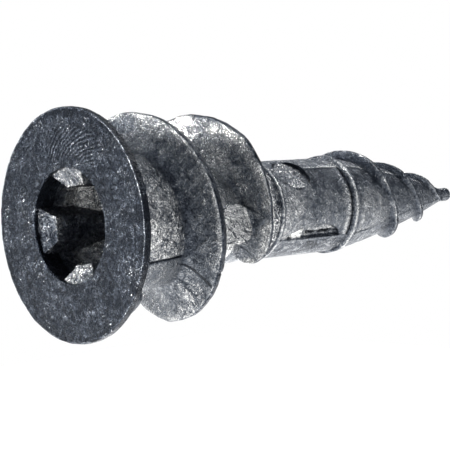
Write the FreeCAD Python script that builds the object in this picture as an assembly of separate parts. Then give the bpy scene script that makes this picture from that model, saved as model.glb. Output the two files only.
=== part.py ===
import FreeCAD, Part
import os
from math import cos, pi, radians, sin

# Self-drilling zinc wall anchor, millimetres.  The origin is the centre of the head's front face,
# +Y runs along the axis towards the drill point, and +Z is up.  Angles about the axis are in
# degrees from +Z towards +X, and all the threads are right-handed.

# Overall
LENGTH = 32.0
HEAD_RADIUS = 6.25
HEAD_RIM = 0.45           # thickness of the head at its rim
HEAD_DEPTH = 1.2          # the head's coned back meets the barrel here

# Hollow inside
SOCKET_RADIUS = 3.05      # outer wall of the driver socket
SLOT_FLOOR_START = 2.6    # the slots' outer wall slopes inward from here to the screw's entry
SLOT_FLOOR_END = 4.6
FRONT_END = 6.5           # the front barrel ends here
MOUTH_CHAMFER = 0.12
ENTRY_RADIUS = 2.15       # lets the screw's thread pass
ENTRY_END = 10.0
BORE_RADIUS = 1.6         # the screw's thread cuts into this wall
BORE_START = 11.2
BORE_END = 20.0
BORE_TIP = 21.6

# Drive lands: four blocks with splayed sides that leave diagonal slots for the driver's wings
LAND_FACE = 2.1           # distance of a land's flat inner face from the axis
LAND_FACE_HALF = 0.65     # half its width
LAND_FOOT = 24.0          # half-angle that a land takes up on the socket's wall
LAND_TOP_OUTER = 0.28     # the lands' tops slope down towards the axis
LAND_TOP_INNER = 0.82
LAND_END = 4.3
LANDS = {"drive_land_top": -6.0, "drive_land_right": 84.0,
         "drive_land_bottom": 174.0, "drive_land_left": 264.0}

# Barrel, which narrows from the head to the shank
BARREL_RADIUS = 4.2
BARREL_END = 12.0
SHANK_RADIUS = 2.88
SHANK_START = 12.9
SHANK_END = 19.9
SKIN_STEP = 0.9           # spacing of the points that the outer curves pass through

# Coarse thread: one start
COARSE_PITCH = 4.45
COARSE_AT_TOP = 4.55      # the crest's place on the first pass over the top
COARSE_HALF_LAND = 0.24
COARSE_FULL_HEIGHT = 1.6  # the flanks spread less where the thread is lower than this
COARSE_STEP = 12.0
FLANK_HOLLOW = ((0.1, 0.45), (0.3, 0.22), (0.6, 0.08))    # (share of the height, share of the flank's run)
# along the helix: (angle, crest radius), and how far the flanks spread at their roots
COARSE_CREST = ((-238.0, 4.4), (-220.0, 5.25), (-180.0, 5.3), (-90.0, 5.75), (0.0, 5.85), (130.0, 5.85),
                (200.0, 5.7), (400.0, 5.7), (440.0, 5.22), (470.0, 4.93), (495.0, 4.05), (513.0, 2.96))
COARSE_FRONT = ((-238.0, 0.4), (-180.0, 0.6), (-100.0, 1.3), (35.0, 1.6), (65.0, 1.3), (100.0, 1.15),
                (180.0, 1.1), (330.0, 0.7), (385.0, 0.45))
COARSE_REAR = ((-225.0, 0.5), (-100.0, 1.1), (180.0, 1.0), (330.0, 0.7), (385.0, 0.5))

# Rings, pin marks, pocket and slot
FRONT_RING = (13.14, 0.34, 0.11)   # middle, width and height
REAR_RING = (19.46, 0.52, 0.16)
# middle, angle, sideways offset, radius, and distance of the flat from the axis
SHANK_MARK = (14.98, 38.0, 0.2, 1.2, 2.64)
BARREL_MARK = (8.84, 81.5, 1.02, 1.18, 3.5)
MARK_ROOT = 2.45          # the barrel's mark stands proud from inside its wall
SLOT_ANGLE = 123.5
SLOT_WIDTH = 0.4
SLOT_START = 15.4
SLOT_END = 18.4
POCKET = (16.2, 120.0, 2.3, 0.9, 2.62)   # middle, angle, half-length, half-width, floor's distance

# Tip: a rounded cone with two thread starts that stand out most next to the die parting
POINT_START = 28.0
NOSE_START = 30.83        # the point is blunt: a round stub with a domed end
TIP_LEAD = 6.52
TIP_AT_TOP = {"tip_thread_a": 21.85, "tip_thread_b": 25.15}
TIP_ANGLES = {"tip_thread_a": (-92.0, 505.0), "tip_thread_b": (-150.0, 340.0)}
TIP_RAMP = 60.0
TIP_HALF_LAND = 0.16
TIP_RUN = 0.6
TIP_STEP = 12.0
PARTING_ANGLE = -8.5
SIDE_HEIGHT = 0.35        # the share of the tip thread's height that is left at the sides

AXIS = FreeCAD.Vector(0, 1, 0)
ORIGIN = FreeCAD.Vector(0, 0, 0)


def at(radius, angle, y):
    """The point at a radius, an angle and a place along the axis."""
    return FreeCAD.Vector(radius * sin(radians(angle)), y, radius * cos(radians(angle)))


def between(table, value):
    """Straight-line interpolation in a table of pairs, held level past its ends."""
    if value <= table[0][0]:
        return table[0][1]
    for (low, first), (high, second) in zip(table, table[1:]):
        if value <= high:
            return first + (second - first) * (value - low) / (high - low)
    return table[-1][1]


def steps(first, last, size):
    """Evenly spaced values from first to last, about size apart."""
    count = max(2, int(round(abs(last - first) / size)))
    return [first + (last - first) * index / count for index in range(count + 1)]


def barrel_radius(y):
    """Outer radius of the barrel: half a cosine wave from the head down to the shank."""
    share = min(max((y - HEAD_DEPTH) / (BARREL_END - HEAD_DEPTH), 0.0), 1.0)
    return SHANK_RADIUS + (BARREL_RADIUS - SHANK_RADIUS) * 0.5 * (1 + cos(pi * share))


def core_radius(y):
    """Outer radius of the rounded cone behind the shank."""
    z = min(y, NOSE_START) - SHANK_END
    return SHANK_RADIUS - 0.138 * z - 0.0078 * z * z


def tip_crest_radius(y):
    """Crest radius of the tip threads where they stand out most."""
    z = (y - 22.0) / 10.0
    return 3.22 - 3.03 * z + 2.1 * z * z - 2.21 * z ** 3


def turned(outer, y_front, y_back, inner):
    """Solid turned about the axis: outer(y) outside, and (radius, y) corners from back to front inside."""
    skin = Part.BSplineCurve()
    skin.interpolate([FreeCAD.Vector(outer(y), y, 0) for y in steps(y_front, y_back, SKIN_STEP)])
    inside = [FreeCAD.Vector(radius, y, 0) for radius, y in inner]
    corners = [skin.EndPoint] + inside + [skin.StartPoint]
    edges = [skin.toShape()]
    for first, second in zip(corners, corners[1:]):
        if (first - second).Length > 1e-6:
            edges.append(Part.makeLine(first, second))
    face = Part.Face(Part.Wire(edges))
    return face.revolve(ORIGIN, AXIS, 360)


def ring_outline(corners):
    """Solid turned about the axis from a closed list of (radius, y) corners."""
    points = [FreeCAD.Vector(radius, y, 0) for radius, y in corners]
    face = Part.Face(Part.makePolygon(points + points[:1]))
    return face.revolve(ORIGIN, AXIS, 360)


def ridge(sections):
    """Closed solid through a row of cross-sections, each a list of the same number of points."""
    places = [float(index) for index in range(len(sections))]
    rails = []
    for corner in range(len(sections[0])):
        curve = Part.BSplineCurve()
        curve.interpolate(Points=[section[corner] for section in sections], Parameters=places)
        rails.append(curve)
    faces = []
    for one, two in zip(rails, rails[1:] + rails[:1]):
        band = Part.BSplineSurface()
        band.buildFromPolesMultsKnots([one.getPoles(), two.getPoles()], [2, 2], one.getMultiplicities(),
                                      [0.0, 1.0], one.getKnots(), False, False, 1, one.Degree)
        faces.append(band.toShape())
    for section in (sections[0], sections[-1]):
        faces.append(Part.Face(Part.makePolygon(section + section[:1])))
    shell = Part.makeShell(faces)
    shell.sewShape(1e-4)
    solid = Part.makeSolid(shell)
    if solid.Volume < 0:
        solid.reverse()
    return solid


def thread_section(angle, crest_y, height, half_land, runs, core, front_limit):
    """Corners of a thread's cross-section, which has hollow flanks and stands on the core."""
    front_run, rear_run = runs
    front_crest = crest_y - half_land
    rear_crest = crest_y + half_land
    front_root = max(front_crest - front_run, front_limit)
    rear_root = rear_crest + rear_run
    corners = [(0.0, front_root)]
    for share, spread in FLANK_HOLLOW:
        corners.append((share, front_crest - spread * (front_crest - front_root)))
    corners.append((1.0, front_crest))
    corners.append((1.0, rear_crest))
    for share, spread in reversed(FLANK_HOLLOW):
        corners.append((share, rear_crest + spread * (rear_root - rear_crest)))
    corners.append((0.0, rear_root))
    for share in (0.75, 0.5, 0.25):
        corners.append((0.0, front_root + share * (rear_root - front_root)))
    return [at(core(y) + share * height, angle, y) for share, y in corners]


def coarse_thread():
    """The wide wall thread, from behind the head to where it dies out on the shank."""
    sections = []
    for angle in steps(COARSE_CREST[0][0], COARSE_CREST[-1][0], COARSE_STEP):
        crest_y = COARSE_AT_TOP + COARSE_PITCH * angle / 360.0
        height = between(COARSE_CREST, angle) - barrel_radius(crest_y)
        share = min(1.0, height / COARSE_FULL_HEIGHT)
        runs = (between(COARSE_FRONT, angle) * share, between(COARSE_REAR, angle) * share)
        sections.append(thread_section(angle, crest_y, height, COARSE_HALF_LAND,
                                       runs, barrel_radius, HEAD_DEPTH + 0.05))
    return ridge(sections)


def tip_thread(name):
    """One start of the tip thread, low at the sides and proud next to the die parting."""
    first, last = TIP_ANGLES[name]
    sections = []
    for angle in steps(first, last, TIP_STEP):
        crest_y = TIP_AT_TOP[name] + TIP_LEAD * angle / 360.0
        core = core_radius(crest_y)
        side = abs(cos(radians(angle - PARTING_ANGLE)))
        ramp = min(1.0, (angle - first) / TIP_RAMP)
        height = (tip_crest_radius(crest_y) - core) * (SIDE_HEIGHT + (1 - SIDE_HEIGHT) * side) * ramp
        share = min(1.0, core / SHANK_RADIUS + 0.25)
        sections.append(thread_section(angle, crest_y, max(height, 0.04), TIP_HALF_LAND * share,
                                       (TIP_RUN * share, TIP_RUN * share), core_radius, SHANK_END))
    return ridge(sections)


def drive_land(angle):
    """A block on the socket's wall with a flat inner face, splayed sides and a sloping top."""
    foot = (SOCKET_RADIUS * sin(radians(LAND_FOOT)), SOCKET_RADIUS * cos(radians(LAND_FOOT)))
    corners = [(-foot[0], SOCKET_RADIUS + 0.5), (-foot[0], foot[1]), (-LAND_FACE_HALF, LAND_FACE),
               (LAND_FACE_HALF, LAND_FACE), foot, (foot[0], SOCKET_RADIUS + 0.5)]
    points = [FreeCAD.Vector(x, 0, z) for x, z in corners]
    block = Part.Face(Part.makePolygon(points + points[:1])).extrude(AXIS * LAND_END)
    slope = (LAND_TOP_INNER - LAND_TOP_OUTER) / (SOCKET_RADIUS - LAND_FACE)
    fall = (SOCKET_RADIUS - ENTRY_RADIUS) / (SLOT_FLOOR_END - SLOT_FLOOR_START)
    end_radius = SOCKET_RADIUS - fall * (LAND_END - SLOT_FLOOR_START)
    envelope = ring_outline([(0, LAND_TOP_OUTER + slope * SOCKET_RADIUS), (0, LAND_END),
                             (end_radius, LAND_END), (SOCKET_RADIUS, SLOT_FLOOR_START),
                             (SOCKET_RADIUS, LAND_TOP_OUTER)])
    land = block.common(envelope)
    land.rotate(ORIGIN, AXIS, angle)
    return land


def head_flange():
    """The thin head with a coned back and a chamfered mouth."""
    return ring_outline([(SOCKET_RADIUS + MOUTH_CHAMFER, 0), (HEAD_RADIUS - 0.1, 0), (HEAD_RADIUS, 0.1),
                         (HEAD_RADIUS, HEAD_RIM), (BARREL_RADIUS + 0.5, HEAD_DEPTH - 0.35),
                         (BARREL_RADIUS, HEAD_DEPTH), (SOCKET_RADIUS, HEAD_DEPTH),
                         (SOCKET_RADIUS, MOUTH_CHAMFER)])


def pin_disc(place, inner, outer):
    """A short cylinder along an ejector pin, between two distances from the axis."""
    y, angle, offset, radius, _ = place
    outward = at(1.0, angle, 0)
    sideways = at(1.0, angle + 90, 0)
    middle = FreeCAD.Vector(0, y, 0) + outward * inner + sideways * offset
    return Part.makeCylinder(radius, outer - inner, middle, outward)


def ring(place):
    """A low rounded ring round the shank."""
    middle, width, height = place
    half = width / 2
    return ring_outline([(SHANK_RADIUS, middle - half), (SHANK_RADIUS + 0.75 * height, middle - 0.5 * half),
                         (SHANK_RADIUS + height, middle), (SHANK_RADIUS + 0.75 * height, middle + 0.5 * half),
                         (SHANK_RADIUS, middle + half)])


def slot():
    """Cutter for the narrow slot through the shank's wall."""
    cutter = Part.makeBox(SLOT_WIDTH, SLOT_END - SLOT_START, 3 * SHANK_RADIUS,
                          FreeCAD.Vector(-SLOT_WIDTH / 2, SLOT_START, 0))
    cutter.rotate(ORIGIN, AXIS, SLOT_ANGLE)
    return cutter


def pocket():
    """Cutter for the shallow oval pocket round the slot."""
    y, angle, half_length, half_width, floor = POCKET
    oval = Part.Wire(Part.Ellipse(ORIGIN, half_length, half_width).toShape())
    cutter = Part.Face(oval).extrude(FreeCAD.Vector(0, 0, SHANK_RADIUS))
    cutter.rotate(ORIGIN, FreeCAD.Vector(0, 0, 1), 90)
    cutter.translate(FreeCAD.Vector(0, y, floor))
    cutter.rotate(ORIGIN, AXIS, angle)
    return cutter


def drill_point():
    """The end of the cone and its blunt round nose."""
    cone = turned(core_radius, POINT_START, NOSE_START, [(0, NOSE_START), (0, POINT_START)])
    radius = core_radius(NOSE_START)
    stub = Part.makeCylinder(radius, LENGTH - radius - NOSE_START, at(0, 0, NOSE_START), AXIS)
    dome = Part.makeSphere(radius, at(0, 0, LENGTH - radius))
    return cone.fuse([stub, dome]).removeSplitter()


nodes = {}
nodes["head_flange"] = head_flange()
nodes["front_barrel"] = turned(barrel_radius, HEAD_DEPTH, FRONT_END,
                               [(ENTRY_RADIUS, FRONT_END), (ENTRY_RADIUS, SLOT_FLOOR_END),
                                (SOCKET_RADIUS, SLOT_FLOOR_START), (SOCKET_RADIUS, HEAD_DEPTH)])
nodes["rear_barrel"] = turned(barrel_radius, FRONT_END, SHANK_START,
                              [(BORE_RADIUS, SHANK_START), (BORE_RADIUS, BORE_START),
                               (ENTRY_RADIUS, ENTRY_END), (ENTRY_RADIUS, FRONT_END)])
proud_mark = pin_disc(BARREL_MARK, MARK_ROOT, BARREL_MARK[-1])
nodes["rear_barrel"] = nodes["rear_barrel"].fuse(proud_mark).removeSplitter()
nodes["coarse_thread"] = coarse_thread()
for name, angle in LANDS.items():
    nodes[name] = drive_land(angle)
nodes["shank"] = turned(lambda y: SHANK_RADIUS, SHANK_START, SHANK_END,
                        [(BORE_RADIUS, SHANK_END), (BORE_RADIUS, SHANK_START)])
cut_mark = pin_disc(SHANK_MARK, SHANK_MARK[-1], HEAD_RADIUS)
for cutter in (slot(), pocket(), cut_mark):
    nodes["shank"] = nodes["shank"].cut(cutter)
nodes["front_ring"] = ring(FRONT_RING)
nodes["rear_ring"] = ring(REAR_RING)
nodes["tip_core"] = turned(core_radius, SHANK_END, POINT_START,
                           [(0, POINT_START), (0, BORE_TIP),
                            (BORE_RADIUS, BORE_END), (BORE_RADIUS, SHANK_END)])
nodes["drill_point"] = drill_point()
for name in TIP_AT_TOP:
    nodes[name] = tip_thread(name)

os.makedirs("parts", exist_ok=True)
for name, shape in nodes.items():
    solids = shape.Solids
    if len(solids) == 1:
        shape = solids[0]
    shape.exportStep("parts/" + name + ".step")
    print(name, "solids", len(solids), "valid", shape.isValid(), "volume %.3f" % shape.Volume)
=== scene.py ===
import math

import bpy
import numpy as np
from mathutils import Matrix, Vector


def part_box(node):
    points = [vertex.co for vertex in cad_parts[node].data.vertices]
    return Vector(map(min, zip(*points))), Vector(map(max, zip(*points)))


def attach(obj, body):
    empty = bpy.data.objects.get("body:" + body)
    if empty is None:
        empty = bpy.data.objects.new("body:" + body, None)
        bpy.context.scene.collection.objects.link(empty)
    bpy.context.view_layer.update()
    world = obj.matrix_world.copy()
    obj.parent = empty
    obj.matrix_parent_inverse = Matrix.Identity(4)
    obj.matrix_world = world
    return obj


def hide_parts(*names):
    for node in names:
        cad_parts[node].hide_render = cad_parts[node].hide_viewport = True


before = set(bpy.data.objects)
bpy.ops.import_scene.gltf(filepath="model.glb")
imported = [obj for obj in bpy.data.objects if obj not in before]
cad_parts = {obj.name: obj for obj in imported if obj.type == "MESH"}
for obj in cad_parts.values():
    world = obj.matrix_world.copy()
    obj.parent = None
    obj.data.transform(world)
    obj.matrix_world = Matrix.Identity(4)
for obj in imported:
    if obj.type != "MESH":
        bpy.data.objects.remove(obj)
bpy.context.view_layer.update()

# A die-cast zinc wall anchor.  Lengths are in millimetres until a mesh is made.  The axis is +Y,
# from the head to the drill point.  Angles about it are in degrees from +Z towards +X.

MM = 0.001


def node_end(node, axis, side):
    """One side of a CAD node's box, in millimetres."""
    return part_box(node)[side][axis] / MM


# ---------------------------------------------------------------- sizes from the frame
HEAD_RADIUS = node_end("head_flange", 0, 1)
HEAD_BACK = node_end("head_flange", 1, 1)
SOCKET_END = node_end("front_barrel", 1, 1)
BARREL_END = node_end("rear_barrel", 1, 1)
SHANK_END = node_end("shank", 1, 1)
CONE_END = node_end("tip_core", 1, 1)
LENGTH = node_end("drill_point", 1, 1)
SHANK_RADIUS = node_end("shank", 2, 1)
BARREL_RADIUS = node_end("front_barrel", 2, 1)

# ---------------------------------------------------------------- shared shape of the casting
SOCKET_RADIUS = 3.05
ENTRY_RADIUS = 2.15
ENTRY_END = 10.0
BORE_RADIUS = 1.6
BORE_START = 11.2
BORE_END = 20.0
BORE_TIP = 21.6
TAPER_END = 12.0
COARSE_PITCH = 4.45
COARSE_AT_TOP = 4.55
# crest radius and the two flanks' spread along the helix: (angle, millimetres)
COARSE_CREST = ((-238.0, 4.25), (-228.0, 4.7), (-220.0, 5.25), (-180.0, 5.3), (-90.0, 5.75),
                (0.0, 5.85), (130.0, 5.85), (170.0, 5.78),
                (200.0, 5.7), (400.0, 5.68), (420.0, 5.45), (440.0, 5.18), (466.0, 4.86),
                (480.0, 4.66), (496.0, 4.0), (506.0, 3.4), (515.0, 2.9))
COARSE_REAR = ((-225.0, 0.5), (-100.0, 1.1), (180.0, 1.0), (330.0, 0.7), (385.0, 0.42), (430.0, 0.3),
               (515.0, 0.3))
COARSE_FRONT = ((-238.0, 0.4), (-180.0, 0.6), (-100.0, 1.3), (35.0, 1.6), (65.0, 1.3), (100.0, 1.15),
                (180.0, 1.1), (330.0, 0.7), (385.0, 0.45), (515.0, 0.45))
TIP_LEAD = 6.52
TIP_STARTS = {"tip_thread_a": (21.85, -92.0, 505.0), "tip_thread_b": (25.15, -150.0, 340.0)}
TIP_SPREAD = 0.62
PARTING_TOP = -8.5        # the die halves part here and half a turn away
PANEL_TOP = 36.0          # edges of the side core's panel
PANEL_BOTTOM = 129.0
PANEL_START = 13.3        # the panel's front end along the axis
STRIP_BOTTOM = 131.0      # the lower strip starts here
BARREL_PARTING = 120.5    # the parting step along the barrel
HALF_TURNS = (0.0, 180.0, 360.0)    # the coarse thread meets a die parting once each half turn
FLANK_CREASE = 129.5      # the crease and the ridge that a parting leaves on its front flank
FLANK_RIDGE = 152.0

# pin marks: place along the axis, pin's direction, sideways offset, radius, distance from the axis
SHANK_MARK = (14.98, 38.0, 0.2, 1.2, 2.64)
BARREL_MARK = (8.84, 81.5, 1.02, 1.18, 3.5)

# die features of the shank: places along the axis, and angles
FRONT_GROOVE = 13.4
REAR_GROOVE = 19.17
FRONT_RING = (13.14, 0.34, 0.11)      # middle, width and height
REAR_RING = (19.46, 0.52, 0.16)
POCKET_MIDDLE = 16.2
POCKET_HALF = 2.3
POCKET_SPREAD = 19.0
SLOT_ANGLE = 123.5

# the point is a round stub with a domed end
NOSE_START = 30.83
NOSE_RADIUS = 0.44

ROWS = 360                # steps round the axis


def smooth(value):
    """Eased step from 0 to 1."""
    value = np.clip(value, 0.0, 1.0)
    return value * value * (3 - 2 * value)


def bump_at(value, middle, width):
    """Rounded bump of height 1."""
    return smooth(1 - np.abs(value - middle) / width)


# ---------------------------------------------------------------- repeatable rough texture
LATTICE = np.random.default_rng(11).random((32, 32, 32))


def lattice_noise(points, size):
    """Smooth noise from -1 to 1 with features of the given size, at points in millimetres."""
    scaled = np.asarray(points) / size
    cell = np.floor(scaled).astype(int)
    part = smooth(scaled - cell)
    total = 0.0
    for corner in range(8):
        step = np.array([corner & 1, (corner >> 1) & 1, corner >> 2])
        index = (cell + step) % 32
        weight = np.prod(np.where(step == 1, part, 1 - part), axis=-1)
        total = total + weight * LATTICE[index[..., 0], index[..., 1], index[..., 2]]
    return 2 * total - 1


# ---------------------------------------------------------------- outer surface without threads
def plain_radius(y):
    """Barrel, shank and cone as turned shapes."""
    share = np.clip((y - HEAD_BACK) / (TAPER_END - HEAD_BACK), 0, 1)
    barrel = SHANK_RADIUS + (BARREL_RADIUS - SHANK_RADIUS) * 0.5 * (1 + np.cos(np.pi * share))
    z = np.clip(np.minimum(y, NOSE_START) - SHANK_END, 0, None)
    cone = barrel - 0.138 * z - 0.0078 * z * z
    past = np.clip(y - (LENGTH - NOSE_RADIUS), 0, 0.998 * NOSE_RADIUS)
    return np.where(past > 0, np.sqrt(NOSE_RADIUS ** 2 - past ** 2), cone)


def wrap(angle):
    """Angle brought between -180 and 180 degrees."""
    return (np.asarray(angle) + 180.0) % 360.0 - 180.0


def mark_reach(angle, y, place):
    """Distance in from a pin mark's edge, and the radius of its flat, seen along the pin."""
    middle, direction, offset, pin, floor = place
    turn = np.radians(np.clip(wrap(angle - direction), -70, 70))
    flat = floor / np.cos(turn)
    return pin - np.hypot(flat * np.sin(turn) - offset, y - middle), flat


def mark_share(angle, y, place):
    """1 inside a pin mark and 0 outside it."""
    return smooth(mark_reach(angle, y, place)[0] / 0.08 + 0.5)


def mark_wall(angle, y, place):
    """1 along a pin mark's edge where it is cut deep, fading where it runs out to the surface."""
    reach, flat = mark_reach(angle, y, place)
    return bump_at(reach, 0.03, 0.13) * smooth((np.abs(plain_radius(y) - flat) - 0.03) / 0.08)


def pin_mark(radius, angle, y, place, fills):
    """The round flat that an ejector pin leaves.

    place is (y, direction, sideways offset, pin radius, distance from the axis).  A mark that
    fills stands proud of a rounder surface; any other only cuts into it.
    """
    flat = mark_reach(angle, y, place)[1]
    target = flat if fills else np.minimum(flat, radius)
    return radius + mark_share(angle, y, place) * (target - radius)


def panel_share(here, y):
    """1 on the side core's panel of the shank and the cone, 0 on the strips beside it."""
    strip_bottom = STRIP_BOTTOM - 2.4 * np.clip(y - SHANK_END, 0, 7)
    bottom_edge = np.where(y < SHANK_END, PANEL_BOTTOM, strip_bottom)
    across = smooth((here - PANEL_TOP) / 1.6) * smooth((bottom_edge - here) / 1.6)
    return across * smooth((y - PANEL_START) / 0.06)


def lobe_share(here, y):
    """1 on the bright patch of the barrel round its pin mark."""
    across = smooth((here - 76) / 8) * smooth((156 - here) / 6)
    return across * smooth((y - 7.3) / 0.4) * smooth((9.7 - y) / 0.3)


def beside_head(here, y, start):
    """1 on the barrel's side just behind the head, from an angle down to its parting."""
    return smooth((here - start) / 16) * smooth((120 - here) / 2) * smooth((5.4 - y) / 1.2)


def last_band(y):
    """1 on the barrel's last stretch, before the front ring."""
    return smooth((y - 11.6) / 0.4) * smooth((13.0 - y) / 0.12)


def pocket_shares(angle, y):
    """How far a place lies in the half-oval pocket, in its slot and on its front block."""
    across = (PANEL_BOTTOM - angle) / POCKET_SPREAD
    along = (y - POCKET_MIDDLE) / POCKET_HALF
    inside = smooth((1 - across ** 2 - along ** 2) / 0.22) * smooth((PANEL_BOTTOM - angle) / 1.5)
    ragged = 0.8 * np.sin(4.1 * y) + 0.7 * np.sin(9.7 * y + 1.0)
    slot = smooth((2.1 + ragged - np.abs(angle - SLOT_ANGLE)) / 1.8)
    slot = slot * smooth((1.45 - np.abs(y - 16.95)) / 0.5)
    block = smooth((0.5 - np.abs(y - 14.75)) / 0.12) * smooth((angle - 115) / 1.5)
    return inside, slot * inside, block * inside


def skin_radius(angle, y):
    """Outer radius of the casting without its threads and rings."""
    angle = wrap(angle)
    radius = plain_radius(y)
    turn = np.radians(angle)
    point = np.stack([radius * np.sin(turn), y, radius * np.cos(turn)], -1)
    opposite = wrap(angle - 180.0)

    # the side core's panels on the shank and the cone stand a little lower than the parting strips
    on_panel = panel_share(angle, y) + panel_share(opposite, y)
    fade = 1 - 0.6 * smooth((y - SHANK_END) / 3)
    radius = radius - 0.08 * fade * on_panel

    # a sharp groove behind the front ring and another before the rear ring
    grooves = 0.07 * bump_at(y, FRONT_GROOVE - 0.01, 0.1) + 0.09 * bump_at(y, REAR_GROOVE, 0.08)
    radius = radius - on_panel * grooves
    radius = radius + 0.06 * on_panel * bump_at(y, 18.9, 0.28)

    # the die's parting step along the barrel
    front = smooth((12.8 - y) / 0.6)
    for here in (angle, opposite):
        groove = bump_at(here, BARREL_PARTING, 1.6)
        below = smooth((here - BARREL_PARTING) / 2.0) * smooth((176 - here) / 10)
        radius = radius - front * (0.11 * groove + 0.04 * below)

    # casting roughness, strongest on the panels, the barrel's pin mark and beside the head
    rough = 0.5 + 0.7 * on_panel + 1.6 * mark_share(angle, y, BARREL_MARK)
    for here in (angle, opposite):
        rough = rough + 1.3 * smooth((here - 30) / 20) * smooth((119 - here) / 3) * smooth((5 - y) / 1.5)
    tip_fade = np.clip((LENGTH - y) / 6, 0.15, 1)
    radius = radius + tip_fade * rough * (0.016 * lattice_noise(point, 0.34)
                                          + 0.014 * lattice_noise(point + 7.7, 0.16))
    radius = radius + tip_fade * 0.012 * lattice_noise(point + 3.1, 1.1)

    radius = pin_mark(radius, angle, y, SHANK_MARK, False)
    radius = pin_mark(radius, angle, y, BARREL_MARK, True)

    inside, slot, block = pocket_shares(angle, y)
    return radius - 0.2 * inside - 0.5 * slot + 0.16 * block


def skin_tone(angle, y):
    """How light the skin is painted, from 1 bright through 0 as cast to -1 dark: bare metal and grime,
    together with painted highlights, painted reflection of the floor and painted shade in grooves and
    hollows.
    """
    angle = wrap(angle)
    on_barrel = smooth((12.6 - y) / 0.3)
    # painted light on the barrel's last stretch, behind the coarse thread
    tone = 0.0 * angle + 0.7 * smooth((y - 11.0) / 0.6) * on_barrel
    for here in (angle, wrap(angle - 180.0)):
        panel = panel_share(here, y)
        # the barrel: lighter beside the head, a painted highlight on its upper side, painted reflection of
        # the floor on its underside, the bright patch round the mark (its paler finish with painted
        # reflection of the floor), painted light on the last stretch, and painted shade in the parting groove
        top = smooth((62 - np.abs(here - 42)) / 30) * smooth((y - 5.5) / 1.5) * smooth((10.5 - y) / 1.0)
        low = smooth((here - 122) / 3) * smooth((178 - here) / 8)
        tone = tone + (0.55 + 0.3 * smooth((78 - here) / 20)) * beside_head(here, y, 22)
        tone = tone + 0.9 * top + 0.15 * low
        tone = tone + 1.2 * lobe_share(here, y) * (1 - mark_share(angle, y, BARREL_MARK))
        tone = tone + 0.35 * last_band(y) * bump_at(here, 88.0, 70.0)
        tone = tone - 1.6 * on_barrel * bump_at(here, BARREL_PARTING, 1.9)
        # the panel: lighter at its front end, a painted highlight at the cone's start, and painted shade
        # towards its top edge
        tone = tone + 0.45 * panel * smooth((here - 50) / 10) * smooth((16.2 - y) / 1.6)
        on_cone = smooth((y - 19.9) / 0.3) * smooth((24.0 - y) / 2.0)
        tone = tone + 0.35 * panel * smooth((here - 62) / 12) * on_cone
        tone = tone - 0.50 * panel * smooth((72 - here) / 14) * smooth((y - 15.6) / 0.5)
        # the strips above and below it
        tone = tone + 0.2 * bump_at(here, 15.0, 22.0) * smooth((y - 12.0) / 0.6)
        along_shank = smooth((y - PANEL_START) / 0.2)
        tone = tone - 0.5 * smooth((here - STRIP_BOTTOM) / 3) * along_shank
        # painted shade in the grooves beside the rings and along the panel's lower edge, and painted
        # highlights on the lip before the rear groove and along the panel's upper edge
        tone = tone + 0.6 * panel * bump_at(y, 18.85, 0.4) - 0.8 * panel * bump_at(y, REAR_GROOVE, 0.1)
        tone = tone - 1.1 * panel * bump_at(y, FRONT_GROOVE + 0.01, 0.12)
        along_edges = smooth((y - 13.2) / 0.2)
        tone = tone + 0.9 * bump_at(here, PANEL_TOP - 1.5, 3.0) * along_edges
        tone = tone - 0.5 * bump_at(here, PANEL_BOTTOM - 0.8, 1.3) * along_edges
    # the barrel's pad is lighter, its paler finish with painted light, and painted shade lies along the cut
    # walls of both pin marks
    tone = tone + 1.2 * mark_share(angle, y, BARREL_MARK) - 0.7 * mark_wall(angle, y, BARREL_MARK)
    tone = tone - 1.6 * mark_wall(angle, y, SHANK_MARK) + 0.1 * mark_share(angle, y, SHANK_MARK)
    # thin lines round the two pin marks: a painted highlight along the top of the barrel's pad, and a painted
    # dark outline with a painted bright inner edge round the shank's mark
    pad_edge = mark_reach(angle, y, BARREL_MARK)[0]
    tone = tone + 0.9 * bump_at(pad_edge, 0.13, 0.08) * smooth((88 - angle) / 8)
    outline = mark_reach(angle, y, SHANK_MARK)[0]
    tone = tone - 0.6 * bump_at(outline, 0.0, 0.09) + 0.35 * bump_at(outline, 0.14, 0.08)
    # the pocket: painted shade round its rim and in its slot, painted highlights on its front block and on
    # the ridge above the slot, and a little lighter inside
    inside, slot, block = pocket_shares(angle, y)
    edge = bump_at(inside, 0.5, 0.5)
    above_slot = smooth((SLOT_ANGLE - 2 - angle) / 1.0) * smooth((angle - 115) / 3)
    above_slot = above_slot * inside * smooth((y - 15.6) / 0.2)
    return tone - 0.9 * edge + 0.3 * inside - 1.5 * slot + 0.4 * block + 0.4 * above_slot


def skin_mottle(angle, y):
    """How strongly the skin is mottled: most beside the head, round the pin marks and on the strips."""
    angle = wrap(angle)
    mottle = 0.45 + 0.0 * angle + last_band(y)
    for here in (angle, wrap(angle - 180.0)):
        mottle = mottle + 0.5 * smooth((here - STRIP_BOTTOM) / 3) * smooth((y - PANEL_START) / 0.2)
        mottle = mottle + 0.02 * panel_share(here, y) + 0.45 * beside_head(here, y, 38)
        mottle = mottle + 0.5 * lobe_share(here, y)
    mottle = mottle + 0.3 * mark_share(angle, y, SHANK_MARK)
    return mottle + 0.5 * mark_share(angle, y, BARREL_MARK)


def placed(radius, angle, y):
    """Points in space from radius, angle and place along the axis."""
    turn = np.radians(angle)
    return np.stack(np.broadcast_arrays(radius * np.sin(turn), y, radius * np.cos(turn)), -1)


# ---------------------------------------------------------------- meshes from sheets of points
def sheet_normals(points, wraps):
    """Unit normals of a grid of points, by differences along both ways."""
    if wraps:
        along = np.roll(points, -1, 0) - np.roll(points, 1, 0)
    else:
        along = np.gradient(points, axis=0)
    across = np.gradient(points, axis=1)
    normals = np.cross(along, across)
    length = np.linalg.norm(normals, axis=-1, keepdims=True)
    return normals / np.maximum(length, 1e-12)


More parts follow.
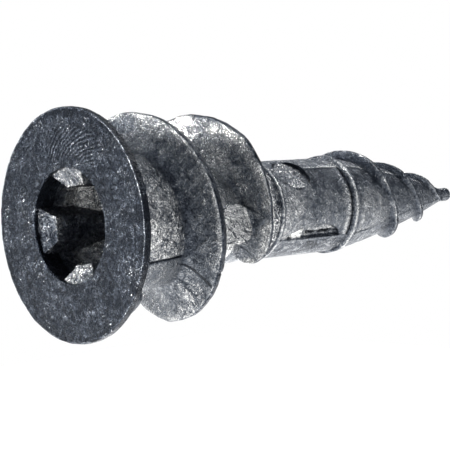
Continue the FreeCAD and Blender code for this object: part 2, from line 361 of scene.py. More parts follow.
class Piece:
    """Sheets of points that join into one closed mesh and keep their own shading normals and tone."""

    def __init__(self, name):
        self.name = name
        self.points = []
        self.normals = []
        self.tones = []
        self.mottles = []
        self.faces = []
        self.count = 0

    def add(self, points, normals, tone, mottle, faces):
        self.points.append(points.reshape(-1, 3))
        self.normals.append(normals.reshape(-1, 3))
        self.tones.append(np.broadcast_to(tone, points.shape[:-1]).reshape(-1))
        self.mottles.append(np.broadcast_to(mottle, points.shape[:-1]).reshape(-1))
        self.faces.extend(faces)
        self.count += self.points[-1].shape[0]

    def sheet(self, points, wraps=True, normals=None, flip=False, tone=0.0, mottle=0.6):
        """Adds a grid; its faces look along the cross product of its first and second ways."""
        points = np.asarray(points, float)
        if normals is None:
            normals = sheet_normals(points, wraps)
        rows, columns = points.shape[:2]
        index = np.arange(rows * columns).reshape(rows, columns) + self.count
        if wraps:
            index = np.concatenate([index, index[:1]], 0)
        quads = np.stack([index[:-1, :-1], index[1:, :-1], index[1:, 1:], index[:-1, 1:]], -1).reshape(-1, 4)
        if flip:
            quads = quads[:, ::-1]
            normals = -normals
        self.add(points, normals, tone, mottle, quads.tolist())

    def strip(self, first, second, wraps=True, flip=False, tone=0.0):
        """A flat band between two rows of points."""
        self.sheet(np.stack([first, second], 1), wraps, None, flip, tone)

    def cap(self, points, tone=0.0):
        """One face through a ring of points."""
        points = np.asarray(points, float)
        normal = np.cross(points - points.mean(0), np.roll(points, -1, 0) - points.mean(0)).sum(0)
        normals = np.broadcast_to(normal / max(np.linalg.norm(normal), 1e-12), points.shape)
        self.add(points, normals, tone, 0.5, [list(range(self.count, self.count + len(points)))])

    def make(self, material, *nodes):
        points = np.concatenate(self.points)
        normals = np.concatenate(self.normals)
        values = {"tone": np.concatenate(self.tones), "mottle": np.concatenate(self.mottles)}
        keys = np.round(points * 1e5).astype(np.int64)
        _, first, merged = np.unique(keys, axis=0, return_index=True, return_inverse=True)
        merged = merged.reshape(-1).tolist()
        faces = []
        corners = []
        for loose in self.faces:
            kept = [corner for place, corner in enumerate(loose)
                    if merged[corner] != merged[loose[place - 1]]]
            face = [merged[corner] for corner in kept]
            if len(face) > 2 and len(set(face)) == len(face):
                faces.append(face)
                corners.extend(kept)
        mesh = bpy.data.meshes.new(self.name)
        mesh.from_pydata((points[first] * MM).tolist(), [], faces)
        mesh.polygons.foreach_set("use_smooth", [True] * len(faces))
        mesh.normals_split_custom_set(normals[corners].tolist())
        for name, value in values.items():
            mesh.attributes.new(name, "FLOAT", "POINT").data.foreach_set("value", value[first])
        piece = bpy.data.objects.new(self.name, mesh)
        bpy.context.scene.collection.objects.link(piece)
        mesh.materials.append(material)
        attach(piece, "root")
        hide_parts(*nodes)
        return piece


def places(first, last, size):
    """Evenly spaced values from first to last, about size apart."""
    count = max(1, int(round(abs(last - first) / size)))
    return np.linspace(first, last, count + 1)


def arc(middle, radius, first, last, count=5):
    """(radius, y) points of a small rounding; angles in degrees, 0 outward and 90 along +Y."""
    turn = np.radians(np.linspace(first, last, count + 1))
    return [(middle[0] + radius * math.cos(a), middle[1] + radius * math.sin(a)) for a in turn]


TURN = np.arange(ROWS) * (360.0 / ROWS)


def lathe_grid(outline, angles=TURN):
    """Grid of points round the axis from (radius, y) points."""
    outline = np.asarray(outline, float)
    return placed(outline[None, :, 0], np.asarray(angles)[:, None], outline[None, :, 1])


def finer(outline, size):
    """More points along the straight runs of an outline."""
    result = [outline[0]]
    for first, last in zip(outline, outline[1:]):
        run = math.dist(first, last)
        count = max(1, int(round(run / size)))
        for step in range(1, count + 1):
            share = step / count
            result.append((first[0] + share * (last[0] - first[0]), first[1] + share * (last[1] - first[1])))
    return result


# ---------------------------------------------------------------- materials
TONE_WEIGHT = 0.42        # how far a piece's tone shifts the level
FINE_RELIEF = 0.022       # heights of the two reliefs, in millimetres
BROAD_RELIEF = 0.05

# level from darkest to lightest, grime and painted shade up to bare metal and painted highlight: (place,
# colour)
ZINC_TONES = ((0.0, (0.010, 0.012, 0.016)), (0.22, (0.045, 0.052, 0.066)), (0.45, (0.12, 0.132, 0.15)),
              (0.68, (0.30, 0.305, 0.31)), (0.86, (0.58, 0.575, 0.56)), (1.0, (0.86, 0.85, 0.82)))


def zinc(name, middle, rough, grain, relief, cloudy, tint=(1.0, 1.0, 1.0)):
    """As-cast zinc: mottled patches, scribbled dark lines, pale flecks, fine grain and pits.

    middle is the usual level on the tone scale.  A piece's tone shifts it; it holds bare metal from rubbing
    and grime, together with painted highlights and painted shade.  A piece's mottle says how far the mottling
    strays from it.
    """
    material = bpy.data.materials.new(name)
    material.use_nodes = True
    nodes = material.node_tree.nodes
    links = material.node_tree.links
    shader = nodes["Principled BSDF"]
    shader.inputs["Metallic"].default_value = 1.0
    coords = nodes.new("ShaderNodeTexCoord")
    scale = nodes.new("ShaderNodeVectorMath")
    scale.operation = "SCALE"
    scale.inputs["Scale"].default_value = 1 / MM
    links.new(coords.outputs["Object"], scale.inputs[0])

    def noise(size, detail, roughness, distortion=0.0):
        node = nodes.new("ShaderNodeTexNoise")
        node.inputs["Scale"].default_value = 1 / size
        node.inputs["Detail"].default_value = detail
        node.inputs["Roughness"].default_value = roughness
        node.inputs["Distortion"].default_value = distortion
        links.new(scale.outputs[0], node.inputs["Vector"])
        return node.outputs["Fac"]

    def spread(source, low, high, first=0.0, last=1.0):
        node = nodes.new("ShaderNodeMapRange")
        node.inputs["From Min"].default_value = low
        node.inputs["From Max"].default_value = high
        node.inputs["To Min"].default_value = first
        node.inputs["To Max"].default_value = last
        links.new(source, node.inputs["Value"])
        return node.outputs["Result"]

    def math_node(operation, *values):
        node = nodes.new("ShaderNodeMath")
        node.operation = operation
        for socket, value in zip(node.inputs, values):
            if isinstance(value, (int, float)):
                socket.default_value = value
            else:
                links.new(value, socket)
        return node.outputs[0]

    patches = spread(noise(1.2, 3, 0.6, 0.5), 0.36, 0.64, -0.5, 0.5)
    clouds = spread(noise(0.36, 4, 0.7, 0.6), 0.34, 0.66, -0.5, 0.5)
    fine = spread(noise(grain, 3, 0.7), 0.32, 0.68, -0.5, 0.5)
    scribble = noise(0.42, 2, 0.5, 1.6)
    lines = spread(math_node("ABSOLUTE", math_node("SUBTRACT", scribble, 0.5)), 0.0, 0.03, -0.30, 0.0)
    sparse = spread(noise(1.5, 2, 0.5), 0.47, 0.60, 0.05, 1.0)
    flecks = spread(noise(grain * 1.8, 2, 0.6, 2.0), 0.60, 0.66, 0.0, 0.8)
    flecks = math_node("MULTIPLY", flecks, sparse)

    # the piece's tone: rubbing and grime together with painted highlights and painted shade
    tone_wear_and_light = nodes.new("ShaderNodeAttribute")
    tone_wear_and_light.attribute_name = "tone"
    mottle = nodes.new("ShaderNodeAttribute")
    mottle.attribute_name = "mottle"
    stray = math_node("MULTIPLY", patches, 0.4 * cloudy)
    stray = math_node("MULTIPLY_ADD", clouds, 0.6 * cloudy, stray)
    stray = math_node("MULTIPLY_ADD", fine, 0.8, stray)
    stray = math_node("ADD", lines, stray)
    stray = math_node("ADD", flecks, stray)
    level = math_node("MULTIPLY_ADD", stray, mottle.outputs["Fac"], middle)
    level = math_node("MULTIPLY_ADD", tone_wear_and_light.outputs["Fac"], TONE_WEIGHT, level)
    tones = nodes.new("ShaderNodeValToRGB")
    ramp = tones.color_ramp
    ramp.elements[0].position = ZINC_TONES[0][0]
    ramp.elements[1].position = ZINC_TONES[-1][0]
    for place, _ in ZINC_TONES[1:-1]:
        ramp.elements.new(place)
    for stop, (_, colour) in zip(ramp.elements, ZINC_TONES):
        stop.color = (*(channel * share for channel, share in zip(colour, tint)), 1.0)
    links.new(level, tones.inputs["Fac"])
    links.new(tones.outputs["Color"], shader.inputs["Base Color"])
    patchy_rough = spread(clouds, -0.5, 0.5, rough + 0.12, rough - 0.1)
    links.new(math_node("MULTIPLY_ADD", tone_wear_and_light.outputs["Fac"], -0.07, patchy_rough), shader.inputs["Roughness"])

    small = nodes.new("ShaderNodeBump")
    small.inputs["Strength"].default_value = relief
    small.inputs["Distance"].default_value = FINE_RELIEF * MM
    links.new(math_node("ADD", fine, lines), small.inputs["Height"])
    broad = nodes.new("ShaderNodeBump")
    broad.inputs["Strength"].default_value = relief
    broad.inputs["Distance"].default_value = BROAD_RELIEF * MM
    links.new(clouds, broad.inputs["Height"])
    links.new(small.outputs["Normal"], broad.inputs["Normal"])
    links.new(broad.outputs["Normal"], shader.inputs["Normal"])
    return material


# the head takes a darker copy of the same zinc: painted shade standing in for the dark room that its flat
# face reflects
face_zinc_painted_dark = zinc("face_zinc_painted_dark", 0.035, 0.26, 0.085, 1.0, 0.6, (0.97, 0.99, 1.02))
body_zinc = zinc("body_zinc", 0.47, 0.27, 0.10, 1.0, 0.9)

# ---------------------------------------------------------------- head
MOUTH_ROUND = 0.13
RIM_ROUND = 0.07
HEAD_ROWS = 600
RIM_BACK = 0.40           # the rim's height, and the roundings and steps of the back behind it
BACK_ROUND = 0.05
BACK_CURVE = [(5.3, 0.62), (4.75, 0.8), (4.4, 1.0), (BARREL_RADIUS, HEAD_BACK)]
RIPPLE_STEP = 0.22        # spacing of the tool ripples and the tilt of their run
RIPPLE_TILT = math.radians(38.0)


def head():
    """The thin head: a rounded rim, a flat face with tool ripples and a coned back."""
    angles = np.arange(HEAD_ROWS) * (360.0 / HEAD_ROWS)
    outline = [(SOCKET_RADIUS, HEAD_BACK), (SOCKET_RADIUS, 0.6)]
    outline += arc((SOCKET_RADIUS + MOUTH_ROUND, MOUTH_ROUND), MOUTH_ROUND, 180, 270)
    rim = arc((HEAD_RADIUS - RIM_ROUND, RIM_ROUND), RIM_ROUND, -90, 0)
    back = arc((HEAD_RADIUS - BACK_ROUND, RIM_BACK), BACK_ROUND, 0, 80) + BACK_CURVE
    outline = finer(outline, 0.1) + finer([outline[-1], rim[0]], 0.036)[1:-1] + rim + finer(back, 0.12)
    outline = np.array(outline)
    grid = lathe_grid(outline, angles)
    normals = sheet_normals(grid, True)
    radius = outline[None, :, 0]
    on_face = (outline[:, 1] < 0.01)[None, :]
    turn = wrap(angles)[:, None]
    fan = smooth((turn + 26) / 14) * smooth((46 - turn) / 14)
    fan = fan * smooth((5.45 - radius) / 0.4) * smooth((radius - 3.5) / 0.3)
    travel = math.cos(RIPPLE_TILT) * radius - math.sin(RIPPLE_TILT) * 4.5 * np.radians(turn)
    waves = travel / RIPPLE_STEP + 0.3 * lattice_noise(grid, 0.6)
    broken = smooth(0.9 + 1.2 * lattice_noise(grid + 1.9, 0.5))
    ripples = on_face * fan * broken * np.sin(2 * np.pi * waves)
    uneven = 0.009 * lattice_noise(grid, 0.22) + 0.012 * lattice_noise(grid + 5.3, 0.9)
    uneven = uneven + 0.012 * ripples
    plain_rim = smooth((turn - 15) / 20) * smooth((120 - turn) / 20)
    nicked = bump_at(radius, HEAD_RADIUS - 0.03, 0.12) * (1 - 0.8 * plain_rim)
    uneven = uneven + nicked * (0.02 * lattice_noise(grid + 2.2, 0.5) - 0.02)
    uneven = uneven - 0.03 * on_face
    ends = np.ones(len(outline))
    ends[:2] = 0
    ends[-3:] = 0
    grid = grid + normals * (uneven * ends)[..., None]
    grid[..., 1] = np.maximum(grid[..., 1], 0.0)
    # patches for the painted glint on the rim's front edge; the rim's upper right gets a steady glint
    rim_glint_patches = 0.5 + 0.5 * lattice_noise(grid + 8.8, 0.7)
    edge = bump_at(radius, HEAD_RADIUS - 0.06, 0.07) * (outline[None, :, 1] < 0.06)
    side = (radius > HEAD_RADIUS - 0.02) * (outline[None, :, 1] > 0.06)
    lip = bump_at(radius, SOCKET_RADIUS + 0.09, 0.12) * (outline[None, :, 1] < 0.1)
    hidden = radius < SOCKET_RADIUS + 0.01
    rim_glint_patches = rim_glint_patches + (0.95 - rim_glint_patches) * plain_rim
    # painted glint on the rim's front edge, painted shadow on the rim's side, a lighter socket lip, painted
    # shade on the socket wall, and the tool ripples painted light and dark along with their relief
    tone = 1.6 * edge * rim_glint_patches - (0.35 + 0.1 * plain_rim) * side + 0.25 * lip - 0.6 * hidden + 0.65 * ripples
    # painted shade in a band just inside the rim
    tone = tone - 0.3 * on_face * bump_at(radius, HEAD_RADIUS - 0.25, 0.16)
    # the back behind the rim is lifted to the body's level, out of the darker face copy's painted shade
    behind = (outline[None, :, 1] > RIM_BACK + 0.02) * (radius > SOCKET_RADIUS + 0.05)
    tone = tone + 0.85 * behind
    piece = Piece("head_flange")
    piece.sheet(grid, tone=tone, mottle=0.9)
    piece.strip(grid[:, -1], grid[:, 0], tone=-0.9)
    return piece.make(face_zinc_painted_dark, "head_flange")


# ---------------------------------------------------------------- hollow barrel, shank and cone
def skin_piece(name, y_front, y_back, inner, *nodes):
    """A closed tube between two places: rough skin outside, plain wall inside from back to front."""
    ys = places(y_front, y_back, 0.06)
    outer = placed(covered_radius(TURN[:, None], ys[None, :]), TURN[:, None], ys[None, :])
    piece = Piece(name)
    piece.sheet(outer, normals=skin_normals(TURN[:, None], ys[None, :]),
                tone=skin_tone(TURN[:, None], ys[None, :]), mottle=skin_mottle(TURN[:, None], ys[None, :]))
    wall = lathe_grid(inner)
    # the end rings and the plain walls inside are painted in shade
    piece.strip(outer[:, -1], wall[:, 0], tone=-0.45)
    for column in range(len(inner) - 1):
        first, last = inner[column:column + 2]
        if first[0] in (0.0, last[0]) or last[0] == 0.0:
            piece.strip(wall[:, column], wall[:, column + 1], tone=-0.45)
            continue
        slope = lathe_grid(finer([first, last], 0.15))
        # the sloping walls inside are painted light, with streaks along them
        piece.sheet(slope, tone=0.9 + 0.7 * lattice_noise(slope * np.array([1, 0.25, 1]), 0.12))
    piece.strip(wall[:, -1], outer[:, 0], tone=-0.45)
    return piece.make(body_zinc, *nodes)


def skin_normals(angle, y):
    """Shading normals of the skin, from its own formula, so that they agree across pieces."""
    angle, y = np.broadcast_arrays(angle, y)
    turn_step = 0.6
    y_step = 0.04
    round_way = (placed(skin_radius(angle + turn_step, y), angle + turn_step, y)
                 - placed(skin_radius(angle - turn_step, y), angle - turn_step, y))
    far = np.minimum(y + y_step, LENGTH)
    near = y - y_step
    long_way = placed(skin_radius(angle, far), angle, far) - placed(skin_radius(angle, near), angle, near)
    normals = np.cross(round_way, long_way)
    return normals / np.maximum(np.linalg.norm(normals, axis=-1, keepdims=True), 1e-12)


# ---------------------------------------------------------------- threads
def coarse_height(turn_angle):
    """Height of the coarse thread's crest above the barrel at an angle along its helix."""
    crest_y = COARSE_AT_TOP + COARSE_PITCH * turn_angle / 360
    angles, radii = zip(*COARSE_CREST)
    return np.clip(np.interp(turn_angle, angles, radii) - plain_radius(crest_y), 0, None)


def tip_height(turn_angle, at_top, first, last):
    """Height of a tip thread's crest: proud next to the die parting and low at the sides."""
    crest_y = at_top + TIP_LEAD * turn_angle / 360
    z = (crest_y - 22) / 10
    crest = 3.22 - 3.03 * z + 2.1 * z * z - 2.21 * z ** 3
    side = np.abs(np.cos(np.radians(turn_angle - PARTING_TOP)))
    ramp = smooth((turn_angle - first) / 60) * smooth((last - turn_angle) / 25)
    return np.clip(crest - plain_radius(crest_y), 0, None) * (0.35 + 0.65 * side) * ramp


def coarse_front(turn_angle):
    """Spread of the coarse thread's front flank at its root."""
    return np.interp(turn_angle, *zip(*COARSE_FRONT))


def coarse_rear(turn_angle):
    """Spread of its rear flank."""
    return np.interp(turn_angle, *zip(*COARSE_REAR))


def tip_spread(turn_angle):
    """Spread of a tip thread's flanks."""
    return TIP_SPREAD + 0 * turn_angle


THREADS = {"coarse_thread": {"at_top": COARSE_AT_TOP, "lead": COARSE_PITCH, "first": -238.0, "last": 515.0,
                             "land": 0.23, "front": coarse_front, "rear": coarse_rear, "power": 4.0,
                             "full": 1.5, "height": coarse_height}}
for name, (at_top, first, last) in TIP_STARTS.items():
    THREADS[name] = {"at_top": at_top, "lead": TIP_LEAD, "first": first, "last": last, "land": 0.13,
                     "front": tip_spread, "rear": tip_spread, "power": 2.4, "full": 0.5,
                     "height": lambda a, t=at_top, f=first, l=last: tip_height(a, t, f, l)}


def thread_reach(thread, turn_angle):
    """Share of the full spread of the flanks, which shrinks where the thread is low."""
    return np.clip(thread["height"](turn_angle) / thread["full"], 0.05, 1.0) ** 0.7


def covered_radius(angle, y):
    """The skin, sunk slightly where a thread stands on it."""
    angle, y = np.broadcast_arrays(angle, y)
    radius = skin_radius(angle, y)
    for thread in THREADS.values():
        base = wrap(angle)
        turns = np.round((y - thread["at_top"] - thread["lead"] * base / 360) / thread["lead"])
        for extra in (-1, 0, 1):
            along = base + 360 * (turns + extra)
            offset = y - thread["at_top"] - thread["lead"] * along / 360
            reach = thread_reach(thread, along)
            front = thread["land"] + thread["front"](along) * reach + offset
            rear = thread["land"] + thread["rear"](along) * reach - offset
            alive = (along > thread["first"]) & (along < thread["last"])
            radius = radius - 0.05 * smooth(np.minimum(front, rear) / 0.25) * alive
    return radius


def land_half(name, turn_angle, height):
    """Half-width of a thread's crest, narrower where the thread is low or the coarse one runs out."""
    thread = THREADS[name]
    half = thread["land"] * np.clip(height / (0.4 * thread["full"]), 0.3, 1)
    if name == "coarse_thread":
        half = half * np.interp(turn_angle, (385.0, 425.0), (1.0, 0.5))
    return half


def thread_piece(name, step):
    """A closed ridge along its helix, with hollow flanks and a crest rubbed down unevenly."""
    thread = THREADS[name]
    turn_angle = places(thread["first"], thread["last"], step)[:, None]
    height = thread["height"](turn_angle)
    reach = thread_reach(thread, turn_angle)
    land = land_half(name, turn_angle, height)
    front_share = np.linspace(1, 0, 23)[None, :-1] ** 1.25
    land_share = np.linspace(-1, 1, 9)[None, :]
    rear_share = np.linspace(0, 1, 17)[None, 1:] ** 1.25
    crest_y = thread["at_top"] + thread["lead"] * turn_angle / 360
    offset = np.concatenate([-land - front_share * thread["front"](turn_angle) * reach, land * land_share,
                             land + rear_share * thread["rear"](turn_angle) * reach], 1)
    shape = np.concatenate([(1 - front_share) ** thread["power"], 1 - 0.035 * np.abs(land_share) ** 4,
                            (1 - rear_share) ** thread["power"]], 1)
    y = np.clip(crest_y + offset, HEAD_BACK + 0.02, LENGTH - 0.05)
    ground = skin_radius(turn_angle, y)
    crest_line = placed(plain_radius(crest_y) + height, turn_angle, crest_y)
    wear_and_light = 0.022 * lattice_noise(crest_line, 0.8) + 0.014 * lattice_noise(crest_line + 4.4, 0.3)
    height = height * (1 + 0.6 * wear_and_light)
    radius = ground + height * shape
    if name == "coarse_thread":
        y = y + flank_steps(turn_angle) * (shape * (1 - shape) * 4) * (offset < 0)
    grid = placed(radius, turn_angle, y)
    mid = (shape > 0.02) & (shape < 0.98)
    texture = 0.014 * lattice_noise(grid, 0.3) + 0.012 * lattice_noise(grid + 9.1, 0.9)
    low = np.clip(height / (0.6 * thread["full"]), 0, 1)
    grid = grid + sheet_normals(grid, False) * (texture * mid * low)[..., None]
    base = placed(np.maximum(ground[:, [0, -1]] - 0.1, 0.01), turn_angle, y[:, [0, -1]])
    piece = Piece(name)
    root = smooth((0.008 - shape) / 0.008)
    tone = thread_tone(name, turn_angle, offset, land, shape, grid)
    tone = tone + root * (skin_tone(turn_angle, y) - tone)
    own = 0.5 + 0.6 * (name == "coarse_thread") * bump_at(turn_angle, 352.0, 34.0)
    for parting in HALF_TURNS:
        own = own + 0.4 * bump_at(turn_angle - parting, FLANK_RIDGE, 24.0) * (name == "coarse_thread")
    mottle = own + root * (skin_mottle(turn_angle, y) - own)
    piece.sheet(grid, wraps=False, tone=tone, mottle=mottle)
    piece.strip(base[:, 1], base[:, 0], wraps=False)
    piece.strip(base[:, 0], grid[:, 0], wraps=False)
    piece.strip(grid[:, -1], base[:, 1], wraps=False)
    piece.cap(np.concatenate([grid[0], base[0, ::-1]]))
    piece.cap(np.concatenate([base[-1], grid[-1, ::-1]]))
    return piece.make(body_zinc, name)


def thread_tone(name, turn_angle, offset, land, shape, grid):
    """Painted highlights along the crest edges, painted shade on the crest and in the hollow front flanks,
    and on the coarse thread painted shade and highlight along its die marks and painted light where its
    flanks face the lamps.
    """
    patchy = 0.5 + 0.5 * lattice_noise(grid + 6.1, 0.6)
    edge = bump_at(np.abs(offset), land, 0.07) * (shape > 0.5)
    crest = (np.abs(offset) < land) * (shape > 0.5)
    # painted highlight along the crest edges and painted shade on the crest land between them
    tone = 1.4 * edge * patchy - 0.75 * crest * (1 - edge) - 0.05
    rise = shape ** (1 / THREADS[name]["power"])
    hollow = bump_at(rise, 0.5, 0.42) * (offset < 0)
    # tip threads: the highlights fade towards the sides, with painted shade on the front flank and crest near
    # the top and bottom of each turn, and in the hollow
    if name != "coarse_thread":
        side = np.abs(np.cos(np.radians(turn_angle - PARTING_TOP)))
        return tone * (0.4 + 0.6 * side) - 0.25 * smooth((side - 0.4) / 0.3) * (offset < land) - 0.2 * hollow
    # coarse thread, each half turn: painted shade in the hollow front flank, a painted highlight on the die's
    # ridge, a painted dark line at its crease, and painted light on the front flank near the top and bottom
    for parting in HALF_TURNS:
        here = turn_angle - parting
        low = smooth((here - 129) / 2) * smooth((178 - here) / 12) * (offset < -land)
        depth = np.where(turn_angle < 250, 0.5, 0.3)
        tone = tone - depth * hollow * smooth((here - 15) / 40) * smooth((127 - here) / 10)
        ridge = bump_at(here, FLANK_RIDGE + 0.5, 4.0) * (offset < -land) * smooth((shape - 0.05) / 0.2)
        tone = tone - 0.05 * low + 1.2 * patchy * ridge
        tone = tone - 1.6 * bump_at(here, FLANK_CREASE, 2.0) * (offset < -land)
        tone = tone + 0.5 * bump_at(here, 20.0, 50.0) * (offset < -land) * patchy
    # painted highlight on the second turn's upper front flank, painted light at its root, and painted light
    # on the rear flank where the thread runs out
    second_top_highlight = smooth((turn_angle - 325) / 12) * smooth((374 - turn_angle) / 20)
    second_top_highlight = second_top_highlight * smooth((shape - 0.3) / 0.2)
    second_root = smooth((turn_angle - 372) / 15) * smooth((455 - turn_angle) / 25)
    second_root = second_root * smooth((0.5 - shape) / 0.3)
    run_out = smooth((turn_angle - 400) / 20) * (offset > land)
    return tone + (1.3 * second_top_highlight + 0.4 * second_root) * (offset < -land) + 1.2 * run_out


def flank_steps(turn_angle):
    """Shift along the axis of the coarse thread's front flank at the die's parting steps."""
    shift = np.zeros_like(turn_angle)
    for parting in HALF_TURNS:
        here = turn_angle - parting
        sunk = smooth((here - FLANK_CREASE + 1.0) / 2.0) * smooth((151.5 - here) / 14.0)
        ridge = bump_at(here, FLANK_RIDGE, 5.0)
        shift = shift + 0.12 * sunk - 0.05 * ridge
    return shift


def ring_piece(name, place):
    """A low rounded ring round the shank, light along its crest, bare metal with a painted highlight,
    strongest on its upper side, and with painted shade at its feet.
    """
    middle, width, height = place
    share = np.linspace(-1, 1, 17)[None, :]
    angle = TURN[:, None]
    y = middle + 0.5 * width * share + 0 * angle
    ground = skin_radius(angle, y)
    wavy = 1 + 0.25 * lattice_noise(placed(SHANK_RADIUS, angle, y), 0.7)
    lowest = plain_radius(y) - 0.03
    radius = np.maximum(ground, lowest) + height * np.sqrt(np.clip(1 - share ** 2, 0, 1)) * wavy
    outer = placed(radius, angle, y)
    base = placed(ground[:, [0, -1]] - 0.08, angle, y[:, [0, -1]])
    piece = Piece(name)
    wear_and_light = 0.8 + 0.6 * bump_at(np.abs(wrap(angle)), 62.0, 34.0)
    tone = wear_and_light * bump_at(share, -0.1, 0.6) - 0.3 * smooth((np.abs(share) - 0.7) / 0.2)
    piece.sheet(outer, tone=tone)
    piece.strip(base[:, 1], base[:, 0])
    piece.strip(base[:, 0], outer[:, 0])
    piece.strip(outer[:, -1], base[:, 1])
    return piece.make(body_zinc, name)


# ---------------------------------------------------------------- drive lands
LAND_FACE = 2.1           # distance of a land's flat inner face from the axis
LAND_FACE_HALF = 0.65     # half its width
LAND_FOOT = 24.0          # half-angle that a land takes up on the socket's wall
LAND_TOP_OUTER = 0.28     # the tops slope down towards the axis
LAND_TOP_INNER = 0.82
SLOT_FLOOR_START = 2.6    # the slots' outer wall slopes inward from here to the screw's entry
SLOT_FLOOR_END = 4.6
LAND_END = 4.3
# middle, and how light its top is painted: bare metal and painted light by where the land faces
LANDS = {"drive_land_top": (-6.0, 0.4), "drive_land_right": (84.0, 0.2),
         "drive_land_bottom": (174.0, 0.1), "drive_land_left": (264.0, -0.5)}


def land(name, middle, wear_and_light):
    """A block on the socket's wall with a flat inner face, splayed sides and a sloping top."""
    foot = math.radians(LAND_FOOT)
    foot_point = (SOCKET_RADIUS * math.sin(foot), SOCKET_RADIUS * math.cos(foot))
    outline = [(-foot_point[0], foot_point[1]), (-LAND_FACE_HALF, LAND_FACE),
               (LAND_FACE_HALF, LAND_FACE), foot_point]
    outline = np.array(finer(outline, 0.07))
    at_corner = np.abs(np.abs(outline[:, 0]) - LAND_FACE_HALF) < 0.05
    blunt = np.hypot(outline[:, 0], outline[:, 1]) - 0.05 * at_corner
    angle = middle + np.degrees(np.arctan2(outline[:, 0], outline[:, 1]))
    rows = np.linspace(0, 1, 12)[None, :]
    back_radius = SOCKET_RADIUS + 0.06
    radius = back_radius + rows * (blunt[:, None] - back_radius)
    slope = (LAND_TOP_INNER - LAND_TOP_OUTER) / (SOCKET_RADIUS - LAND_FACE)
    top_y = LAND_TOP_OUTER + slope * (SOCKET_RADIUS - radius)
    top = placed(radius, angle[:, None], top_y)
    bumps = 0.035 * lattice_noise(top, 0.3) + 0.025 * lattice_noise(top + 3, 0.15)
    top = top + np.array([0, 1, 0]) * bumps[..., None]
    depth = np.linspace(0, 1, 50)[None, :] ** 1.2
    side_y = top[:, -1:, 1] + depth * (LAND_END - top[:, -1:, 1])
    streaks = lattice_noise(placed(blunt[:, None], angle[:, None], 0.3 * side_y), 0.2)
    side_radius = blunt[:, None] + 0.012 * streaks * (depth > 0)
    side = placed(side_radius, angle[:, None], side_y)
    piece = Piece(name)
    # painted light on the top by where the land faces, a painted highlight along its inner edge, and painted
    # shade deeper down its sides; the hidden back and ends are dark
    edge = bump_at(rows, 1.0, 0.12) + 0 * radius
    piece.sheet(top, wraps=False, tone=wear_and_light + 0.25 * edge, mottle=0.8)
    piece.sheet(side, wraps=False, tone=0.2 - 0.6 * smooth(depth * 5) + 0 * side_y)
    back = placed(back_radius, angle, LAND_END)
    piece.strip(side[:, -1], back, wraps=False, tone=-1)
    piece.strip(back, top[:, 0], wraps=False, tone=-1)
    piece.cap(np.concatenate([top[0], side[0, 1:], back[:1]]), tone=-1)
    piece.cap(np.concatenate([back[-1:], side[-1, :0:-1], top[-1, ::-1]]), tone=-1)
    return piece.make(body_zinc, name)


# ---------------------------------------------------------------- make the anchor
head()
skin_piece("front_barrel", HEAD_BACK, SOCKET_END,
           [(ENTRY_RADIUS, SOCKET_END), (ENTRY_RADIUS, SLOT_FLOOR_END), (SOCKET_RADIUS, SLOT_FLOOR_START),
            (SOCKET_RADIUS, HEAD_BACK)], "front_barrel")
skin_piece("rear_barrel", SOCKET_END, BARREL_END,
           [(BORE_RADIUS, BARREL_END), (BORE_RADIUS, BORE_START), (ENTRY_RADIUS, ENTRY_END),
            (ENTRY_RADIUS, SOCKET_END)], "rear_barrel")
skin_piece("shank", BARREL_END, SHANK_END, [(BORE_RADIUS, SHANK_END), (BORE_RADIUS, BARREL_END)], "shank")
skin_piece("tip_core", SHANK_END, CONE_END,
           [(0.0, CONE_END), (0.0, BORE_TIP), (BORE_RADIUS, BORE_END), (BORE_RADIUS, SHANK_END)], "tip_core")
skin_piece("drill_point", CONE_END, LENGTH, [(0.0, LENGTH), (0.0, CONE_END)], "drill_point")
thread_piece("coarse_thread", 0.9)
thread_piece("tip_thread_a", 1.5)
thread_piece("tip_thread_b", 1.5)
ring_piece("front_ring", FRONT_RING)
ring_piece("rear_ring", REAR_RING)
for name, (middle, wear_and_light) in LANDS.items():
    land(name, middle, wear_and_light)

# ---------------------------------------------------------------- floor, light and camera
FLOOR_DROP = 0.03
FLOOR_HALF = 0.14


def pale_floor():
    mesh = bpy.data.meshes.new("floor")
    corners = [(x * FLOOR_HALF, y * FLOOR_HALF, -FLOOR_DROP) for x, y in ((-1, -1), (1, -1), (1, 1), (-1, 1))]
    mesh.from_pydata(corners, [], [(0, 1, 2, 3)])
    floor = bpy.data.objects.new("floor", mesh)
    bpy.context.scene.collection.objects.link(floor)
    material = bpy.data.materials.new("pale_floor")
    material.use_nodes = True
    shader = material.node_tree.nodes["Principled BSDF"]
    shader.inputs["Base Color"].default_value = (0.9, 0.9, 0.9, 1)
    shader.inputs["Roughness"].default_value = 0.9
    shader.inputs["Emission Color"].default_value = (1, 1, 1, 1)
    shader.inputs["Emission Strength"].default_value = 1.0
    mesh.materials.append(material)


# what the metal sees round it: (0 straight down to 1 straight up, colour)
ROOM_TONES = ((0.0, (0.4, 0.4, 0.4)), (0.36, (0.34, 0.34, 0.34)), (0.47, (0.15, 0.16, 0.175)),
              (0.58, (0.13, 0.15, 0.18)), (0.72, (0.24, 0.27, 0.32)), (1.0, (0.26, 0.30, 0.36)))


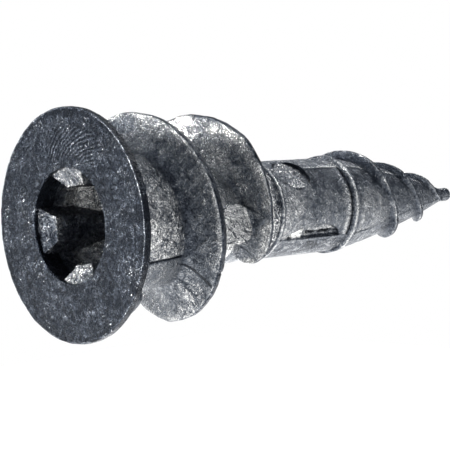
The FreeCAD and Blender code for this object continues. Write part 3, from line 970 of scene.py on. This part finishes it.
def studio_world():
    """A white backdrop for the camera; the metal sees a dim bluish room, paler towards the floor."""
    world = bpy.data.worlds.new("studio")
    bpy.context.scene.world = world
    world.use_nodes = True
    nodes = world.node_tree.nodes
    links = world.node_tree.links
    backdrop = nodes["Background"]
    backdrop.inputs["Color"].default_value = (1, 1, 1, 1)
    room = nodes.new("ShaderNodeBackground")
    way = nodes.new("ShaderNodeTexCoord")
    split = nodes.new("ShaderNodeSeparateXYZ")
    links.new(way.outputs["Generated"], split.inputs[0])
    height = nodes.new("ShaderNodeMapRange")
    height.inputs["From Min"].default_value = -1
    links.new(split.outputs["Z"], height.inputs["Value"])
    tone = nodes.new("ShaderNodeValToRGB")
    stops = tone.color_ramp.elements
    stops[0].position = ROOM_TONES[0][0]
    stops[1].position = ROOM_TONES[-1][0]
    for place, _ in ROOM_TONES[1:-1]:
        stops.new(place)
    for stop, (_, colour) in zip(stops, ROOM_TONES):
        stop.color = (*colour, 1)
    links.new(height.outputs["Result"], tone.inputs["Fac"])
    links.new(tone.outputs["Color"], room.inputs["Color"])
    path = nodes.new("ShaderNodeLightPath")
    choose = nodes.new("ShaderNodeMixShader")
    links.new(path.outputs["Is Camera Ray"], choose.inputs["Fac"])
    links.new(room.outputs[0], choose.inputs[1])
    links.new(backdrop.outputs[0], choose.inputs[2])
    links.new(choose.outputs[0], nodes["World Output"].inputs["Surface"])


# the way each lamp lies from the anchor, its distance and size in metres, and its brightness
LAMPS = {"key": ((-0.40, -0.87, 0.29), 0.22, 0.05, 88.0), "high": ((-0.60, -0.50, 0.65), 0.22, 0.05, 14.0),
         "rim": ((-0.28, 0.04, 0.97), 0.2, 0.02, 25.0), "back": ((-0.19, 0.66, 0.73), 0.22, 0.05, 18.0),
         "side": ((0.75, 0.66, 0.05), 0.25, 0.10, 3.0)}


def softbox(name, way, distance, size, brightness):
    """A square area light aimed at the anchor's middle, lying that way from it."""
    centre = Vector((0, 0.5 * LENGTH * MM, 0))
    lamp = bpy.data.lights.new(name, "AREA")
    lamp.energy = brightness * math.pi * size ** 2
    lamp.size = size
    holder = bpy.data.objects.new(name, lamp)
    holder.location = centre + Vector(way).normalized() * distance
    holder.rotation_euler = (-Vector(way)).to_track_quat("-Z", "Y").to_euler()
    holder.visible_camera = False
    bpy.context.scene.collection.objects.link(holder)


pale_floor()
studio_world()
bpy.context.scene.view_settings.view_transform = "Standard"
for name, lamp_values in LAMPS.items():
    softbox(name, *lamp_values)

# the camera looks along the anchor from in front of its head, slightly above and slightly rolled
CAMERA_PLACE = Vector((59.17, -43.86, 3.00)) * MM
CAMERA_RIGHT = Vector((0.6821, 0.7296, -0.0491)).normalized()
CAMERA_AIM = Vector((-0.7313, 0.6806, -0.0458)).normalized()
camera_up = CAMERA_RIGHT.cross(CAMERA_AIM)
turned = Matrix((CAMERA_RIGHT, camera_up, -CAMERA_AIM)).transposed().to_4x4()
lens = bpy.data.cameras.new("camera")
lens.sensor_width = 36.0
lens.lens = 112.0
lens.clip_start = 0.005
camera = bpy.data.objects.new("camera", lens)
camera.matrix_world = Matrix.Translation(CAMERA_PLACE) @ turned
bpy.context.scene.collection.objects.link(camera)
bpy.context.scene.camera = camera
